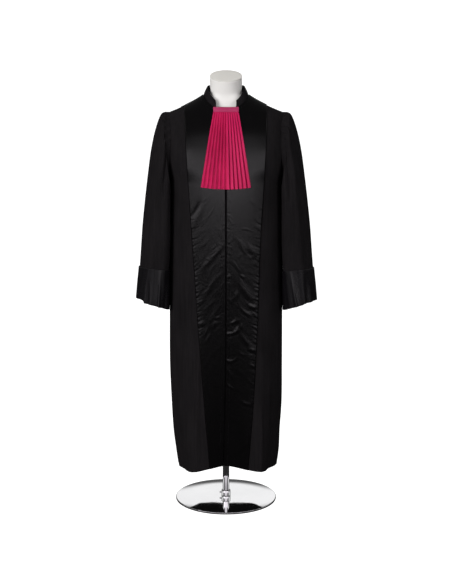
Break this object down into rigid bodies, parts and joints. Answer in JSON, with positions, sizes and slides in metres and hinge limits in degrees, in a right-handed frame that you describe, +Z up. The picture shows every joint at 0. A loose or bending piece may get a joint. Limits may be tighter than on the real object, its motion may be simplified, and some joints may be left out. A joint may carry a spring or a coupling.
{
  "type": "judge robe on a limbless dress form stand",
  "caption": "Long black judge's robe with satin front bands, wide cuffed sleeves and a pleated jabot, worn by a limbless dress form on a round base.",
  "frame": {"origin": "centre of the round base's underside, on the pole's axis", "axes": "+Z up along the pole, -Y out of the robe's front, +X towards the wearer's left"},
  "size_m": [0.6694, 0.3863, 1.5997],
  "materials": {
    "wool": "matte black wool",
    "satin": "black satin",
    "silk": "magenta silk",
    "form_white": "smooth white form",
    "cap_grey": "smooth grey cap",
    "chrome": "polished chrome"
  },
  "bodies": {
    "root": {"front_right": "wool", "front_left": "wool", "back": "wool", "underlap": "wool", "sleeve_right": "wool", "sleeve_left": "wool", "collar": "wool", "band_right": "satin", "band_left": "satin", "cuff_right": "satin", "cuff_left": "satin", "jabot_fan": "silk", "jabot_band": "silk", "form": "form_white", "neck_cap": "cap_grey", "form_socket": "chrome", "pole": "chrome", "base_socket": "chrome", "base_plate": "chrome", "set_screw": "chrome"}
  },
  "joints": []
}
